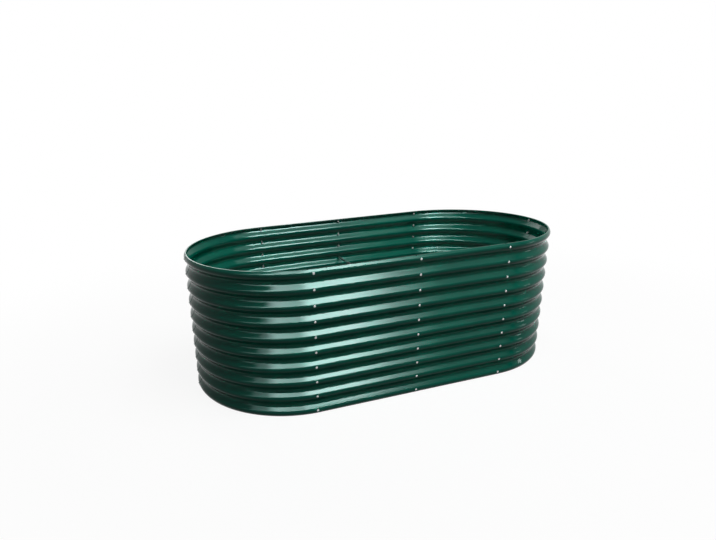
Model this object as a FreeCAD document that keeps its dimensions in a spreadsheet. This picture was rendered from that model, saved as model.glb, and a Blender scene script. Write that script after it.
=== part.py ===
"""Oval raised garden bed of corrugated sheet steel.

Eight sheet panels make the wall: four flat ones along the sides and four quarter rounds at
the ends. Each panel laps over the start of the next one, always the same way round, and a
column of dome-headed bolts, one on every crest, holds each lap. Two rods tie the long sides
together at their middle lap, so that the soil can't push them apart. The bed has no floor.

Millimetres, +Z up, +X along the bed. The origin is on the ground under the bed's centre.
"""
import FreeCAD, Part
import math
import os

import Sketcher
from FreeCAD import Placement, Rotation, Vector

doc = FreeCAD.newDocument("garden_bed")

# ---------------------------------------------------------------- driving dimensions
sheet = doc.addObject("Spreadsheet::Sheet", "Sizes")
DRIVING_SIZES = [
    ("end_radius", "496"),        # middle of the corrugation, from the centre of an end
    ("flat_reach", "517"),        # from the bed's middle to where the round ends begin
    ("wave_pitch", "76"),         # crest to crest, up the wall
    ("wave_depth", "17"),         # crest to valley, through the sheet's middle
    ("wave_radius", "20"),        # bend of each crest and valley, at the sheet's middle
    ("crest_count", "10"),
    ("edge_margin", "18"),        # outermost crest to the top or bottom edge
    ("steel_gauge", "0.8"),
    ("lap_width", "36"),
    ("lap_gap", "0.3"),           # between the two sheets of a lap, on a crest
    ("hem_radius", "2"),          # rolled safety edge, at the sheet's middle
    ("hem_flat", "3"),            # level strip of the rolled edge, which the bed stands on
    ("hem_curl", "160"),          # degrees that the rolled edge turns beyond its level strip
    ("bolt_diameter", "6"),
    ("hole_clearance", "0.5"),    # round a bolt, in a panel or washer
    ("thread_clearance", "0.05"), # round a bolt, in a nut or rod
    ("head_diameter", "10.5"),
    ("head_height", "3.3"),
    ("socket_flats", "4"),
    ("socket_depth", "2"),
    ("washer_diameter", "12"),
    ("washer_height", "1.6"),
    ("nut_flats", "10"),
    ("nut_height", "5"),
    ("seat_gap", "0.05"),         # between faces that are clamped together
    ("thread_overrun", "2"),      # bolt beyond its nut
    ("rod_diameter", "12"),
    ("rod_bore_depth", "14"),
    ("upper_rod_crest", "6"),     # counted up from the lowest crest, which is 0
    ("lower_rod_crest", "3"),
]
for row, (alias, value) in enumerate(DRIVING_SIZES, start=1):
    sheet.set(f"A{row}", alias)
    sheet.set(f"B{row}", value)
    sheet.setAlias(f"B{row}", alias)
doc.recompute()


def size(alias):
    return float(getattr(sheet, alias))


# ---------------------------------------------------------------- sizes that follow
CREST_COUNT = int(size("crest_count"))
LAP_STEP = size("steel_gauge") + size("lap_gap")  # how far a panel moves out along its length
HALF_LAP = size("lap_width") / 2                  # from a bolt line to the edge that shows
LAP_ANGLE = math.degrees(size("lap_width") / size("end_radius"))
HALF_GAUGE = size("steel_gauge") / 2


def flank_slope():
    """Angle of the straight flank between two bends, from the pitch, depth and bend."""
    k = 4 * size("wave_radius") - size("wave_depth")
    root = math.sqrt(size("wave_pitch") ** 2 - 4 * size("wave_depth") * k)
    return 2 * math.atan((size("wave_pitch") - root) / (2 * k))


SLOPE = flank_slope()
FLANK = (size("wave_pitch") / 2 - 2 * size("wave_radius") * math.sin(SLOPE)) / math.cos(SLOPE)
EDGE_FLANK = (
    size("edge_margin")
    - HALF_GAUGE
    - size("hem_radius") * (1 - math.sin(SLOPE))
    - size("wave_radius") * math.sin(SLOPE)
) / math.cos(SLOPE)
HEM_CURL = math.radians(size("hem_curl"))

# Distances out from the middle of the corrugation, at a crest with a bolt.
CREST_OUT = size("wave_depth") / 2
HEAD_SEAT = CREST_OUT + LAP_STEP + HALF_GAUGE + size("seat_gap")
GROOVE_RADIUS = size("wave_radius") - HALF_GAUGE
WASHER_SAG = GROOVE_RADIUS - math.sqrt(GROOVE_RADIUS**2 - (size("washer_diameter") / 2) ** 2)
WASHER_SEAT = CREST_OUT - HALF_GAUGE - WASHER_SAG - size("seat_gap")
NUT_SEAT = WASHER_SEAT - size("washer_height") - size("seat_gap")
BOLT_END = NUT_SEAT - size("nut_height") - size("thread_overrun")


def crest_height(index):
    """Height of a crest above the ground; the lowest one is 0."""
    return size("edge_margin") + index * size("wave_pitch")


# ---------------------------------------------------------------- corrugated section
class SheetSection:
    """Outline of a bent sheet, from a chain of straight and round stretches of its middle.

    A heading is measured from straight up towards the outside, so a crest turns it down
    and a valley turns it up."""

    def __init__(self, out, up, heading):
        self.point, self.heading = (out, up), heading
        self.outer, self.inner = [], []
        self.start = self.sides()

    def sides(self):
        """The outer and inner face's points beside the chain's present end."""
        out, up = self.point
        c, s = math.cos(self.heading) * HALF_GAUGE, math.sin(self.heading) * HALF_GAUGE
        return (out + c, up - s), (out - c, up + s)

    def straight(self, length):
        before = self.sides()
        out, up = self.point
        self.point = (
            out + length * math.sin(self.heading),
            up + length * math.cos(self.heading),
        )
        after = self.sides()
        self.outer.append((before[0], after[0]))
        self.inner.append((before[1], after[1]))

    def bend(self, radius, turn):
        """Turns the heading by an angle, round a centre on the inside if it is negative."""
        side = -1 if turn < 0 else 1
        out, up = self.point
        centre = (
            out + side * radius * math.cos(self.heading),
            up - side * radius * math.sin(self.heading),
        )
        stops = []
        for share in (0, 0.5, 1):
            heading = self.heading + turn * share
            stops.append(
                [
                    (
                        centre[0] - side * r * math.cos(heading),
                        centre[1] + side * r * math.sin(heading),
                    )
                    for r in (radius - side * HALF_GAUGE, radius + side * HALF_GAUGE, radius)
                ]
            )
        self.outer.append(tuple(stop[0] for stop in stops))
        self.inner.append(tuple(stop[1] for stop in stops))
        self.point = stops[2][2]
        self.heading += turn

    def stretches(self):
        """The closed outline, as runs of two points and arcs of three."""
        end = self.sides()
        return self.outer + [end] + [s[::-1] for s in self.inner[::-1]] + [self.start[::-1]]


def wave_section(out):
    """The wall's section between its two rolled edges; out is the corrugation's middle."""
    start_out = (
        out
        + CREST_OUT
        - size("wave_radius") * (1 - math.cos(SLOPE))
        - EDGE_FLANK * math.sin(SLOPE)
    )
    start_up = (
        crest_height(0) - size("wave_radius") * math.sin(SLOPE) - EDGE_FLANK * math.cos(SLOPE)
    )
    section = SheetSection(start_out, start_up, SLOPE)
    section.straight(EDGE_FLANK)
    for crest in range(CREST_COUNT):
        if crest:
            section.straight(FLANK)
            section.bend(size("wave_radius"), 2 * SLOPE)
            section.straight(FLANK)
        section.bend(size("wave_radius"), -2 * SLOPE)
    section.straight(EDGE_FLANK)
    return section


def hem_sections(wave):
    """The rolled safety edges, which curl inwards from the bottom and top of the wave."""
    bottom_out = sum(p[0] for p in wave.start) / 2
    bottom_up = sum(p[1] for p in wave.start) / 2
    hems = []
    for out, up, heading, side in (
        (bottom_out, bottom_up, math.pi + SLOPE, 1),
        (*wave.point, -SLOPE, -1),
    ):
        hem = SheetSection(out, up, heading)
        hem.bend(size("hem_radius"), side * (math.pi / 2 - SLOPE))
        hem.straight(size("hem_flat"))
        hem.bend(size("hem_radius"), side * HEM_CURL)
        hems.append(hem)
    return hems


def draw_sections(sketch, sections, sign):
    """Adds closed outlines to a sketch; sign puts the outside at its right or left."""
    for section in sections:
        for points in section.stretches():
            flat = [Vector(sign * out, up, 0) for out, up in points]
            if len(flat) == 2:
                sketch.addGeometry(Part.LineSegment(*flat), False)
            else:
                sketch.addGeometry(Part.Arc(*flat), False)


# ---------------------------------------------------------------- document helpers
def new_body(label):
    body = doc.addObject("PartDesign::Body", label)
    body.Label = label
    return body


def new_sketch(body, name, plane, offset=None):
    sketch = body.newObject("Sketcher::SketchObject", name)
    origin_plane = next(f for f in body.Origin.OriginFeatures if f.Role == plane)
    sketch.AttachmentSupport = [(origin_plane, "")]
    sketch.MapMode = "FlatFace"
    if offset is not None:
        sketch.AttachmentOffset = offset
    return sketch


def circle(sketch, x, y, diameter):
    """Adds a circle whose diameter stays bound to an expression of the spreadsheet."""
    index = sketch.addGeometry(Part.Circle(Vector(x, y, 0), Vector(0, 0, 1), 1), False)
    constraint = sketch.addConstraint(Sketcher.Constraint("Diameter", index, 1.0))
    sketch.setExpression(f"Constraints[{constraint}]", diameter)
    return index


def hexagon(sketch, across_flats):
    """A hexagon round the sketch's origin, by its distance across the flats."""
    corner = across_flats / math.sqrt(3)
    points = [
        Vector(corner * math.cos(math.radians(a)), corner * math.sin(math.radians(a)), 0)
        for a in range(0, 360, 60)
    ]
    for k in range(6):
        sketch.addGeometry(Part.LineSegment(points[k], points[(k + 1) % 6]), False)


def pad(body, sketch, name, length, reverse=False):
    """Pads a sketch by a number, or by an expression of the spreadsheet."""
    feature = body.newObject("PartDesign::Pad", name)
    feature.Profile = sketch
    if isinstance(length, str):
        feature.setExpression("Length", length)
    else:
        feature.Length = length
    feature.Reversed = reverse
    return feature


HOLE = "Sizes.bolt_diameter + 2 * Sizes.hole_clearance"


def turned(degrees, x=0, z=0):
    """A sketch's offset on an upright origin plane, turned round the vertical."""
    return Placement(Vector(x, 0, z), Rotation(Vector(0, 1, 0), degrees))


def bolt_holes(body, name, plane, offset, reach):
    """A column of bolt holes, one on each crest, square to their sketch."""
    sketch = new_sketch(body, name + "_sketch", plane, offset)
    for crest in range(CREST_COUNT):
        circle(sketch, 0, crest_height(crest), HOLE)
    cut = body.newObject("PartDesign::Pocket", name)
    cut.Profile = sketch
    cut.Midplane = True
    cut.setExpression("Length", reach)
    return cut


# ---------------------------------------------------------------- the panels
# Each panel starts with a tongue, which lies under the end of the panel before it. A
# panel's origin is where that end's edge shows. The tongue is straight or round, as the
# wall is there.
NOTCH = size("lap_width") * 1.25  # the rolled edge stops short of the next panel's tongue
FLAT_REACH = "4 * Sizes.wave_depth"
ROUND_REACH = "4 * Sizes.end_radius"


def flat_panel(label, length, round_tongue, place):
    """A flat panel along X, with its outside facing -Y."""
    body = new_body(label)
    wave = wave_section(0)
    tongue = 0 if round_tongue else size("lap_width")
    for part, sections, cut_back in (("wave", [wave], 0), ("edges", hem_sections(wave), NOTCH)):
        sketch = new_sketch(body, f"{label}_{part}", "YZ_Plane", turned(0, z=-tongue))
        draw_sections(sketch, sections, -1)
        pad(body, sketch, f"{label}_{part}_run", tongue + length - cut_back)
        if round_tongue:
            sketch = new_sketch(body, f"{label}_{part}_tongue", "YZ_Plane")
            axis = Part.LineSegment(
                Vector(size("end_radius"), 0, 0),
                Vector(size("end_radius"), size("wave_pitch"), 0),
            )
            sketch.addGeometry(axis, True)
            draw_sections(sketch, sections, -1)
            turn = body.newObject("PartDesign::Revolution", f"{label}_{part}_tongue_turn")
            turn.Profile = sketch
            turn.ReferenceAxis = (sketch, ["Axis0"])
            turn.Angle = LAP_ANGLE
            turn.Reversed = True
    if round_tongue:
        half = math.radians(LAP_ANGLE / 2)
        start = turned(
            -LAP_ANGLE / 2,
            -size("end_radius") * math.sin(half),
            -size("end_radius") * (1 - math.cos(half)),
        )
    else:
        start = turned(0, -HALF_LAP)
    bolt_holes(body, label + "_start_holes", "XZ_Plane", start, FLAT_REACH)
    bolt_holes(
        body, label + "_end_holes", "XZ_Plane", turned(0, length - HALF_LAP), FLAT_REACH
    )
    body.Placement = place
    return body


def quarter_panel(label, round_tongue, place):
    """A quarter round, which starts straight out along X and turns towards Y."""
    body = new_body(label)
    radius = size("end_radius") + LAP_STEP / 2
    tongue_angle = LAP_ANGLE if round_tongue else 0
    notch_angle = math.degrees(NOTCH / radius)
    wave = wave_section(radius)
    for part, sections, cut_back in (
        ("wave", [wave], 0),
        ("edges", hem_sections(wave), notch_angle),
    ):
        sketch = new_sketch(body, f"{label}_{part}", "XZ_Plane", turned(-tongue_angle))
        draw_sections(sketch, sections, 1)
        turn = body.newObject("PartDesign::Revolution", f"{label}_{part}_turn")
        turn.Profile = sketch
        turn.ReferenceAxis = (sketch, ["V_Axis"])
        turn.Angle = 90 + tongue_angle - cut_back
        if not round_tongue:
            sketch = new_sketch(body, f"{label}_{part}_tongue", "XZ_Plane")
            draw_sections(sketch, sections, 1)
            pad(body, sketch, f"{label}_{part}_tongue_run", size("lap_width"))
    # The holes are set out from the wall's true centre, half the lap's step to the side.
    if round_tongue:
        start = turned(-LAP_ANGLE / 2, -LAP_STEP / 2, LAP_STEP / 2)
    else:
        start = turned(0, -HALF_LAP - LAP_STEP / 2)
    end = turned(-LAP_ANGLE / 2, LAP_STEP / 2, LAP_STEP / 2)
    bolt_holes(body, label + "_start_holes", "YZ_Plane", start, ROUND_REACH)
    bolt_holes(body, label + "_end_holes", "XZ_Plane", end, ROUND_REACH)
    body.Placement = place
    return body


def about_z(degrees):
    return Rotation(Vector(0, 0, 1), degrees)


def flat_place(start, side, length):
    """Where a flat panel goes; side is -1 for the front and 1 for the back.

    It is turned a little, so that its far end lies outside the next panel."""
    drift = -math.degrees(math.atan(LAP_STEP / length))
    return Placement(
        Vector(start, side * size("end_radius"), 0),
        about_z((0 if side < 0 else 180) + drift),
    )


def quarter_place(centre, start_angle):
    """Where a quarter round goes. It is set off centre by half the lap's step each way."""
    first = about_z(start_angle).multVec(Vector(1, 0, 0))
    last = about_z(start_angle + 90).multVec(Vector(1, 0, 0))
    return Placement(
        Vector(centre, 0, 0) + (last - first) * (LAP_STEP / 2), about_z(start_angle)
    )


FLAT = size("flat_reach")
LONG = FLAT + HALF_LAP   # the middle bolt line is at the bed's middle, so the panel whose
SHORT = FLAT - HALF_LAP  # end shows there is longer than the one that it covers
nodes = [
    flat_panel("front_left_side_panel", LONG, True, flat_place(-FLAT, -1, LONG)),
    flat_panel("front_right_side_panel", SHORT, False, flat_place(HALF_LAP, -1, SHORT)),
    quarter_panel("right_front_end_panel", False, quarter_place(FLAT, -90)),
    quarter_panel("right_back_end_panel", True, quarter_place(FLAT, 0)),
    flat_panel("back_right_side_panel", LONG, True, flat_place(FLAT, 1, LONG)),
    flat_panel("back_left_side_panel", SHORT, False, flat_place(-HALF_LAP, 1, SHORT)),
    quarter_panel("left_back_end_panel", False, quarter_place(-FLAT, 90)),
    quarter_panel("left_front_end_panel", True, quarter_place(-FLAT, 180)),
]


# ---------------------------------------------------------------- one of each fastener
def dome_bolt():
    """Dome-headed bolt along X, with its head outside and a hexagon socket in it."""
    body = new_body("one_bolt")
    sketch = new_sketch(body, "bolt_outline", "XZ_Plane")
    shank, rim = size("bolt_diameter") / 2, size("head_diameter") / 2
    crown = HEAD_SEAT + size("head_height")
    lip = size("head_height") * 0.2
    tip = shank * 0.25
    dome_radius = (rim**2 + (size("head_height") - lip) ** 2) / (
        2 * (size("head_height") - lip)
    )
    half_way = math.asin(rim / dome_radius) / 2
    middle = Vector(
        crown - dome_radius * (1 - math.cos(half_way)), dome_radius * math.sin(half_way), 0
    )
    path = [
        Vector(crown, 0, 0),
        Vector(BOLT_END, 0, 0),
        Vector(BOLT_END, shank - tip, 0),
        Vector(BOLT_END + tip, shank, 0),
        Vector(HEAD_SEAT, shank, 0),
        Vector(HEAD_SEAT, rim, 0),
        Vector(HEAD_SEAT + lip, rim, 0),
    ]
    for a, b in zip(path, path[1:]):
        sketch.addGeometry(Part.LineSegment(a, b), False)
    sketch.addGeometry(Part.Arc(path[-1], middle, path[0]), False)
    turned = body.newObject("PartDesign::Revolution", "bolt_turned")
    turned.Profile = sketch
    turned.ReferenceAxis = (sketch, ["H_Axis"])
    turned.Angle = 360
    sketch = new_sketch(
        body, "socket_outline", "YZ_Plane", Placement(Vector(0, 0, crown), Rotation())
    )
    hexagon(sketch, size("socket_flats"))
    socket = body.newObject("PartDesign::Pocket", "socket")
    socket.Profile = sketch
    socket.setExpression("Length", "Sizes.socket_depth")
    return body


def ring(label, seat, outline, bore, height):
    """A washer or nut along X, lying inwards from its seat."""
    body = new_body(label)
    sketch = new_sketch(
        body, label + "_outline", "YZ_Plane", Placement(Vector(0, 0, seat), Rotation())
    )
    outline(sketch)
    circle(sketch, 0, 0, bore)
    pad(body, sketch, label + "_pad", height, reverse=True)
    return body


one_bolt = dome_bolt()
one_washer = ring(
    "one_washer",
    WASHER_SEAT,
    lambda sketch: circle(sketch, 0, 0, "Sizes.washer_diameter"),
    HOLE,
    "Sizes.washer_height",
)
one_nut = ring(
    "one_nut",
    NUT_SEAT,
    lambda sketch: hexagon(sketch, size("nut_flats")),
    "Sizes.bolt_diameter + 2 * Sizes.thread_clearance",
    "Sizes.nut_height",
)
doc.recompute()


# ---------------------------------------------------------------- fasteners on each lap
def column(label, piece, crests, place):
    """A copy of a fastener on each of the given crests of one lap, as separate solids."""
    solids = []
    for crest in crests:
        solid = piece.Shape.Solids[0].copy()
        solid.translate(Vector(0, 0, crest_height(crest)))
        solids.append(solid)
    group = doc.addObject("Part::Feature", label)
    group.Label = label
    group.Shape = Part.makeCompound(solids)
    group.Placement = place
    return group


RADIUS = size("end_radius")


def on_end(centre, angle):
    """Where a bolt line stands on a round end, and the way its bolts face."""
    out = about_z(angle).multVec(Vector(RADIUS, 0, 0))
    return centre + out.x, out.y, angle


LAPS = {  # where each lap's bolt line stands, and the way its bolts face
    "front_left": on_end(-FLAT, -90 - LAP_ANGLE / 2),
    "front_middle": (0, -RADIUS, -90),
    "front_right": (FLAT - HALF_LAP, -RADIUS, -90),
    "right_end": on_end(FLAT, -LAP_ANGLE / 2),
    "back_right": on_end(FLAT, 90 - LAP_ANGLE / 2),
    "back_middle": (0, RADIUS, 90),
    "back_left": (HALF_LAP - FLAT, RADIUS, 90),
    "left_end": on_end(-FLAT, 180 - LAP_ANGLE / 2),
}
ROD_CRESTS = (int(size("lower_rod_crest")), int(size("upper_rod_crest")))
every_crest = range(CREST_COUNT)
for lap, (x, y, facing) in LAPS.items():
    place = Placement(Vector(x, y, 0), about_z(facing))
    nut_crests = [c for c in every_crest if "middle" not in lap or c not in ROD_CRESTS]
    nodes.append(column(lap + "_bolts", one_bolt, every_crest, place))
    nodes.append(column(lap + "_washers", one_washer, every_crest, place))
    nodes.append(column(lap + "_nuts", one_nut, nut_crests, place))


# ---------------------------------------------------------------- tie rods
def tie_rod(label, crest):
    """A rod across the bed, with a threaded bore in each end for that crest's bolts."""
    body = new_body(label)
    half = RADIUS + NUT_SEAT
    sketch = new_sketch(
        body, label + "_round", "XZ_Plane", Placement(Vector(0, 0, -half), Rotation())
    )
    circle(sketch, 0, crest_height(crest), "Sizes.rod_diameter")
    pad(body, sketch, label + "_pad", 2 * half)
    for end, side in (("front", 1), ("back", -1)):
        sketch = new_sketch(
            body,
            f"{label}_{end}_bore",
            "XZ_Plane",
            Placement(Vector(0, 0, side * half), Rotation()),
        )
        circle(
            sketch,
            0,
            crest_height(crest),
            "Sizes.bolt_diameter + 2 * Sizes.thread_clearance",
        )
        bore = body.newObject("PartDesign::Pocket", f"{label}_{end}_thread")
        bore.Profile = sketch
        bore.setExpression("Length", "Sizes.rod_bore_depth")
        bore.Reversed = side < 0
    return body


nodes.append(tie_rod("lower_tie_rod", ROD_CRESTS[0]))
nodes.append(tie_rod("upper_tie_rod", ROD_CRESTS[1]))
doc.recompute()

# ---------------------------------------------------------------- checks and export
failed = [o.Label for o in doc.Objects if {"Invalid", "Error"} & set(o.State)]
for node in nodes:
    if node.Shape.isNull() or not node.Shape.isValid() or not node.Shape.Solids:
        failed.append(node.Label)
if failed:
    raise RuntimeError("these objects failed: " + ", ".join(failed))
os.makedirs("parts", exist_ok=True)
for node in nodes:
    node.Shape.exportStep(f"parts/{node.Label}.step")
    box = node.Shape.BoundBox
    print(
        f"{node.Label}: {len(node.Shape.Solids)} solids, {node.Shape.Volume:.0f} mm3, "
        f"x {box.XMin:.1f} to {box.XMax:.1f}, y {box.YMin:.1f} to {box.YMax:.1f}, "
        f"z {box.ZMin:.2f} to {box.ZMax:.2f}"
    )
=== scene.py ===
"""Looks of the oval raised garden bed: glossy green corrugated sheet steel, bolted together.

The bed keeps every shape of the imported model, and gets its finishes here. The rest is a pale
floor, a white backdrop, studio light and a camera. Places are in metres.
"""

import math

import bmesh
import bpy
from mathutils import Matrix, Vector

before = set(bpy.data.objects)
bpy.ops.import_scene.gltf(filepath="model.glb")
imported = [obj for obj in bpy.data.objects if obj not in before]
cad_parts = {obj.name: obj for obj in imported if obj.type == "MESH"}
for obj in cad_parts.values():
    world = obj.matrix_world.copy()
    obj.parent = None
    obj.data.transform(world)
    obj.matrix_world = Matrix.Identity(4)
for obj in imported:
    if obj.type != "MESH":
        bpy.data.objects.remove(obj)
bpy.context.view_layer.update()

scene = bpy.context.scene
scene.view_settings.view_transform = "Standard"

# Patterns of the finishes, as cells to the metre.
ORANGE_PEEL = 240.0    # waves 4.2 mm across
ROLLER_LINES = 260.0   # marks 3.8 mm high
ROLLER_RUN = 2.0       # and 500 mm long
DUST_DRIFT = 5.0       # patches 200 mm across
TUMBLING_PITS = 1400.0 # pits 0.7 mm across
SPANGLES = 125.0       # crystals 8 mm across
NOISE_LOW, NOISE_HIGH = 0.3, 0.7  # nearly all of a noise's values lie between these

# The floor's own share of its light grows from the bed outwards.
FLOOR_SIZE = 30.0
FLOOR_NEAR, FLOOR_FAR = 1.0, 3.5
OWN_LIGHT_NEAR, OWN_LIGHT_FAR = 0.9, 1.0

AMBIENT = 0.09
BED_MIDDLE = (0, 0, 0.4)

# The screen stands upright in front of the bed, along X.
SCREEN_Y = -3.5
SCREEN_LEFT, SCREEN_RIGHT = -14.0, 5.6
SCREEN_FOOT, SCREEN_TOP = 2.0, 5.0
SCREEN_BRIGHTNESS = 144.0
SCREEN_LEAN = 0.28         # how far its light moves to the right for each metre up
SCREEN_UNMOVED = 2.16      # the height at which its light isn't moved
# Its share of that brightness, as (metres, share). From the left: almost nothing, a dim
# wing, the bright patch that the left half of the bed's front reflects, and a soft end.
LIGHT_ALONG = (
    (-14.0, 0.0), (-4.4, 0.1), (-3.0, 0.4), (-0.9, 0.3),
    (-0.2, 0.75), (1.0, 0.75), (1.6, 0.2), (2.2, 0.03), (5.0, 0.0),
)
LIGHT_UP = ((2.05, 0.0), (2.15, 1.0), (3.6, 1.0), (4.7, 0.9), (4.9, 0.0))

# The photograph's camera, fitted to the bolt heads and the outlines.
FRAME_WIDTH, FRAME_HEIGHT = 716, 540  # pixels
FOCAL_PIXELS = 555.0
LENS_PIXEL = (309.36, 326.03)         # the pixel that the lens points at
CAMERA_PLACE = Vector((-1.3249, -2.7020, 1.3862))
DOWN, TURN, ROLL = math.radians(21.721), math.radians(19.10), math.radians(2.055)
SENSOR_WIDTH = 36                     # millimetres


# ---------------------------------------------------------------- colours and nodes
def srgb(text):
    """The linear colour of an sRGB hex value."""
    parts = [int(text[i : i + 2], 16) / 255 for i in (0, 2, 4)]
    return [p / 12.92 if p <= 0.04045 else ((p + 0.055) / 1.055) ** 2.4 for p in parts] + [1]


def node(tree, kind, links=(), **settings):
    """Adds a node; settings are its properties or its inputs, links join its inputs."""
    made = tree.nodes.new(kind)
    for name, value in settings.items():
        label = name.replace("_", " ")
        if label in made.inputs:
            made.inputs[label].default_value = value
        else:
            setattr(made, name, value)
    for socket, source in links:
        tree.links.new(source, made.inputs[socket])
    return made


def new_material(name):
    material = bpy.data.materials.new(name)
    material.use_nodes = True
    tree = material.node_tree
    tree.nodes.clear()
    return material, tree


def finish_material(tree, shader):
    output = tree.nodes.new("ShaderNodeOutputMaterial")
    tree.links.new(shader.outputs[0], output.inputs["Surface"])


def seen(tree):
    """1 where the camera looks, also by way of a mirror or through glass, and 0 elsewhere."""
    path = node(tree, "ShaderNodeLightPath")
    found = path.outputs["Is Camera Ray"]
    for kind in ("Is Glossy Ray", "Is Transmission Ray"):
        links = [(0, found), (1, path.outputs[kind])]
        found = node(tree, "ShaderNodeMath", links, operation="MAXIMUM").outputs[0]
    return found


# ---------------------------------------------------------------- materials
def gloss_green_paint():
    """Baked polyester paint on roller-formed sheet: glossy, dark green, very even.

    The eye gets a slight orange peel in the reflections, faint marks of the rollers along
    the sheet, and a tone and a gloss that drift a little from place to place, as a film of
    dust makes them do.
    """
    material, tree = new_material("gloss_green_baked_paint")
    place = node(tree, "ShaderNodeTexCoord").outputs["Object"]
    peel = node(tree, "ShaderNodeTexNoise", [("Vector", place)], Scale=ORANGE_PEEL, Detail=2.0)
    # Long and low cells: the same height all the way round the bed, as rollers leave them.
    stretch = node(
        tree,
        "ShaderNodeMapping",
        [("Vector", place)],
        Scale=(ROLLER_RUN, ROLLER_RUN, ROLLER_LINES),
    )
    rolled = node(
        tree, "ShaderNodeTexNoise", [("Vector", stretch.outputs[0])], Scale=1.0, Detail=1.0
    )
    drift = node(tree, "ShaderNodeTexNoise", [("Vector", place)], Scale=DUST_DRIFT, Detail=4.0)
    tone = node(tree, "ShaderNodeValToRGB", [("Fac", drift.outputs["Fac"])])
    ends = tone.color_ramp.elements
    ends[0].position, ends[0].color = NOISE_LOW, srgb("005647")
    ends[1].position, ends[1].color = NOISE_HIGH, srgb("00614f")
    gloss = node(
        tree,
        "ShaderNodeMapRange",
        [("Value", drift.outputs["Fac"])],
        From_Min=NOISE_LOW,
        From_Max=NOISE_HIGH,
        To_Min=0.085,
        To_Max=0.12,
    )
    waves = node(
        tree, "ShaderNodeBump", [("Height", peel.outputs["Fac"])], Strength=0.05, Distance=0.0006
    )
    marks = node(
        tree,
        "ShaderNodeBump",
        [("Height", rolled.outputs["Fac"]), ("Normal", waves.outputs["Normal"])],
        Strength=0.04,
        Distance=0.0006,
    )
    # The IOR is lower than a lacquer's own 1.5, so that the screen shows in the sheet and the
    # white backdrop hardly does.
    shader = node(
        tree,
        "ShaderNodeBsdfPrincipled",
        [
            ("Base Color", tone.outputs["Color"]),
            ("Roughness", gloss.outputs["Result"]),
            ("Normal", marks.outputs["Normal"]),
        ],
        IOR=1.18,
        Specular_Tint=srgb("d8fff8"),
    )
    finish_material(tree, shader)
    return material


def tumbled_stainless():
    """Cold-headed stainless steel: satin grey, its gloss broken up by tumbling.

    The eye gets dots that are bright but not mirrors, each a little different.
    """
    material, tree = new_material("tumbled_stainless_steel")
    place = node(tree, "ShaderNodeTexCoord").outputs["Object"]
    pits = node(tree, "ShaderNodeTexNoise", [("Vector", place)], Scale=TUMBLING_PITS, Detail=2.0)
    gloss = node(
        tree,
        "ShaderNodeMapRange",
        [("Value", pits.outputs["Fac"])],
        From_Min=NOISE_LOW,
        From_Max=NOISE_HIGH,
        To_Min=0.2,
        To_Max=0.34,
    )
    dents = node(
        tree, "ShaderNodeBump", [("Height", pits.outputs["Fac"])], Strength=0.15, Distance=0.0002
    )
    shader = node(
        tree,
        "ShaderNodeBsdfPrincipled",
        [("Roughness", gloss.outputs["Result"]), ("Normal", dents.outputs["Normal"])],
        Base_Color=srgb("cad0cf"),
        Metallic=1.0,
    )
    finish_material(tree, shader)
    return material


def spangled_zinc():
    """Hot-dip galvanised bar: dull grey zinc with spangles.

    The eye gets flat grey patches with clear edges, each of its own tone and gloss.
    """
    material, tree = new_material("hot_dip_zinc")
    place = node(tree, "ShaderNodeTexCoord").outputs["Object"]
    crystal = node(tree, "ShaderNodeTexVoronoi", [("Vector", place)], Scale=SPANGLES)
    pick = node(tree, "ShaderNodeSeparateColor", [("Color", crystal.outputs["Color"])])
    tone = node(tree, "ShaderNodeValToRGB", [("Fac", pick.outputs[0])])
    ends = tone.color_ramp.elements
    ends[0].color, ends[1].color = srgb("878b8d"), srgb("aeb2b3")
    gloss = node(
        tree, "ShaderNodeMapRange", [("Value", pick.outputs[1])], To_Min=0.36, To_Max=0.56
    )
    shader = node(
        tree,
        "ShaderNodeBsdfPrincipled",
        [("Base Color", tone.outputs["Color"]), ("Roughness", gloss.outputs["Result"])],
        Metallic=1.0,
    )
    finish_material(tree, shader)
    return material


def matt_white_board():
    """Painted board of the studio's floor: matt and white, with the bed's faint shadow.

    Some of its light is its own, and all of it far from the bed, so that it runs into the
    white backdrop without a line. What the camera doesn't see of it is grey, so that it
    throws little light up at the bed.
    """
    material, tree = new_material("pale_floor")
    visible = seen(tree)
    lit = node(tree, "ShaderNodeBsdfDiffuse", Color=srgb("f6f6f6"))
    white = node(tree, "ShaderNodeEmission", Strength=1.0)
    place = node(tree, "ShaderNodeTexCoord").outputs["Object"]
    far = node(tree, "ShaderNodeVectorMath", [("Vector", place)], operation="LENGTH")
    own = node(
        tree,
        "ShaderNodeMapRange",
        [("Value", far.outputs["Value"])],
        interpolation_type="SMOOTHSTEP",
        From_Min=FLOOR_NEAR,
        From_Max=FLOOR_FAR,
        To_Min=OWN_LIGHT_NEAR,
        To_Max=OWN_LIGHT_FAR,
    )
    shown = node(
        tree,
        "ShaderNodeMixShader",
        [(0, own.outputs["Result"]), (1, lit.outputs[0]), (2, white.outputs[0])],
    )
    unseen = node(tree, "ShaderNodeBsdfDiffuse", Color=srgb("606060"))
    finish = node(
        tree,
        "ShaderNodeMixShader",
        [(0, visible), (1, unseen.outputs[0]), (2, shown.outputs[0])],
    )
    finish_material(tree, finish)
    return material


def level_curve(tree, source, steps):
    """A level that changes with a place; steps are (metres, level), in order."""
    start, end = steps[0][0], steps[-1][0]
    share = node(tree, "ShaderNodeMapRange", [("Value", source)], From_Min=start, From_Max=end)
    curve = node(tree, "ShaderNodeValToRGB", [("Fac", share.outputs["Result"])])
    elements = curve.color_ramp.elements
    while len(elements) < len(steps):
        elements.new(1.0)
    for element, (at, level) in zip(elements, steps):
        element.position = (at - start) / (end - start)
        element.color = (level, level, level, 1)
    return curve.outputs[0]


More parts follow.
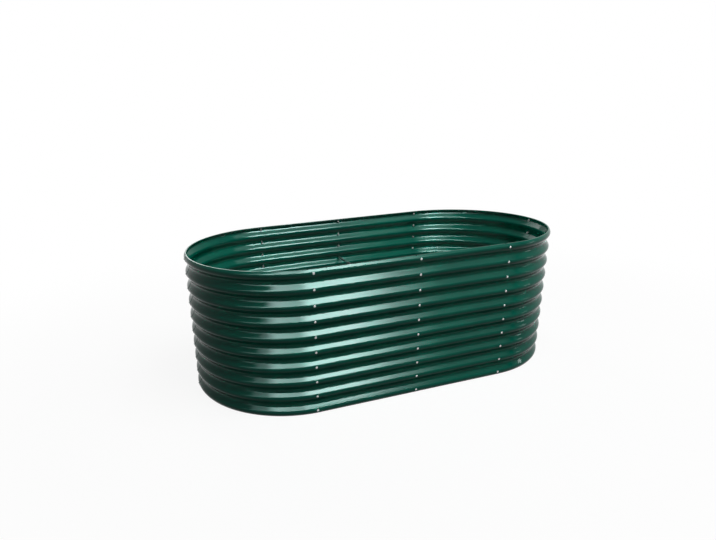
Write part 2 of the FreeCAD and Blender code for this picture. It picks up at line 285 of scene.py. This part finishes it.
def graded_glow():
    """Lit cloth of the studio's screen, whose brightness changes along it and with height.

    The eye gets it only as the pale stripes on the paint. Its light leans to the right with
    height, so that the stripes fade at the same places on every crest.
    """
    material, tree = new_material("graded_screen")
    place = node(tree, "ShaderNodeTexCoord").outputs["Object"]
    axes = node(tree, "ShaderNodeSeparateXYZ", [("Vector", place)])
    lean = node(tree, "ShaderNodeMath", [(0, axes.outputs["Z"])], operation="MULTIPLY_ADD")
    lean.inputs[1].default_value = -SCREEN_LEAN
    lean.inputs[2].default_value = SCREEN_LEAN * SCREEN_UNMOVED
    along = node(
        tree, "ShaderNodeMath", [(0, axes.outputs["X"]), (1, lean.outputs[0])], operation="ADD"
    )
    across = level_curve(tree, along.outputs[0], LIGHT_ALONG)
    up = level_curve(tree, axes.outputs["Z"], LIGHT_UP)
    share = node(tree, "ShaderNodeMath", [(0, across), (1, up)], operation="MULTIPLY")
    strength = node(tree, "ShaderNodeMath", [(0, share.outputs[0])], operation="MULTIPLY")
    strength.inputs[1].default_value = SCREEN_BRIGHTNESS
    glow = node(
        tree, "ShaderNodeEmission", [("Strength", strength.outputs[0])], Color=srgb("fff4f9")
    )
    finish_material(tree, glow)
    material.cycles.emission_sampling = "NONE"
    return material


# ---------------------------------------------------------------- floor, backdrop and light
def studio_piece(name, shape, material):
    """Makes an object of a bmesh that stands round the bed."""
    mesh = bpy.data.meshes.new(name)
    shape.to_mesh(mesh)
    shape.free()
    mesh.materials.append(material)
    piece = bpy.data.objects.new(name, mesh)
    scene.collection.objects.link(piece)
    return piece


def pale_floor():
    shape = bmesh.new()
    bmesh.ops.create_grid(shape, x_segments=1, y_segments=1, size=FLOOR_SIZE)
    floor = studio_piece("floor", shape, matt_white_board())


def white_backdrop():
    """A world that looks white and throws little light."""
    world = bpy.data.worlds.new("studio")
    scene.world = world
    world.use_nodes = True
    tree = world.node_tree
    tree.nodes.clear()
    visible = seen(tree)
    ambient = node(tree, "ShaderNodeBackground", Color=srgb("ffffff"), Strength=AMBIENT)
    backdrop = node(tree, "ShaderNodeBackground", Color=srgb("ffffff"), Strength=1.0)
    blend = node(
        tree,
        "ShaderNodeMixShader",
        [(0, visible), (1, ambient.outputs[0]), (2, backdrop.outputs[0])],
    )
    node(tree, "ShaderNodeOutputWorld", [("Surface", blend.outputs[0])])


def soft_box(name, where, aim, width, height, brightness, in_diffuse=True):
    """An area lamp; brightness is the radiance of its face, where 1 is white."""
    lamp = bpy.data.lights.new(name, "AREA")
    lamp.shape = "RECTANGLE"
    lamp.size, lamp.size_y = width, height
    lamp.energy = brightness * math.pi * width * height
    thing = bpy.data.objects.new(name, lamp)
    scene.collection.objects.link(thing)
    towards = Vector(aim) - Vector(where)
    thing.location = where
    thing.rotation_euler = towards.to_track_quat("-Z", "Y").to_euler()
    thing.visible_camera = False
    thing.visible_diffuse = in_diffuse


def graded_screen(panels):
    """A large upright screen, which only reflections on the painted panels show."""
    shape = bmesh.new()
    corners = (
        (SCREEN_LEFT, SCREEN_FOOT),
        (SCREEN_RIGHT, SCREEN_FOOT),
        (SCREEN_RIGHT, SCREEN_TOP),
        (SCREEN_LEFT, SCREEN_TOP),
    )
    shape.faces.new([shape.verts.new((x, SCREEN_Y, z)) for x, z in corners])
    screen = studio_piece("graded_screen", shape, graded_glow())
    screen.visible_camera = screen.visible_diffuse = False
    screen.visible_shadow = screen.visible_transmission = False
    painted = bpy.data.collections.new("painted")
    for panel in panels:
        painted.objects.link(panel)
    screen.light_linking.receiver_collection = painted


def photograph_camera():
    """A camera that sees the bed as the photograph does."""
    forward = Vector(
        (math.sin(TURN) * math.cos(DOWN), math.cos(TURN) * math.cos(DOWN), -math.sin(DOWN))
    )
    level = Vector((math.cos(TURN), -math.sin(TURN), 0))
    upright = forward.cross(level)
    right = math.cos(ROLL) * level + math.sin(ROLL) * upright
    below = math.cos(ROLL) * upright - math.sin(ROLL) * level
    lens = bpy.data.cameras.new("camera")
    lens.sensor_width = SENSOR_WIDTH
    lens.lens = SENSOR_WIDTH * FOCAL_PIXELS / FRAME_WIDTH
    lens.shift_x = (FRAME_WIDTH / 2 - LENS_PIXEL[0]) / FRAME_WIDTH
    lens.shift_y = (LENS_PIXEL[1] - FRAME_HEIGHT / 2) / FRAME_WIDTH
    lens.clip_end = 100
    camera = bpy.data.objects.new("camera", lens)
    scene.collection.objects.link(camera)
    facing = Matrix((right, -below, -forward)).transposed().to_4x4()
    camera.matrix_world = Matrix.Translation(CAMERA_PLACE) @ facing
    return camera


# ---------------------------------------------------------------- the bed and its studio
paint, stainless, zinc = gloss_green_paint(), tumbled_stainless(), spangled_zinc()
panels = []
for name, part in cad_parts.items():
    if name.endswith("_panel"):
        finish = paint
        panels.append(part)
    elif name.endswith("_rod"):
        finish = zinc
    else:
        finish = stainless
    for slot in part.material_slots:
        slot.material = finish

pale_floor()
white_backdrop()
soft_box("key", (0.9, -1.5, 4.5), BED_MIDDLE, width=3.0, height=3.0, brightness=6.5)
soft_box("back_fill", (-0.9, 4.5, 2.6), BED_MIDDLE, width=3.0, height=1.6, brightness=5.0)
graded_screen(panels)
# A narrow lamp for the thin lights on the ridges of the right end.
soft_box(
    "strip_right",
    (3.5, -1.7, 0.85),
    (0.65, -0.47, 0.5),
    width=0.7,
    height=0.14,
    brightness=24,
    in_diffuse=False,
)
scene.camera = photograph_camera()
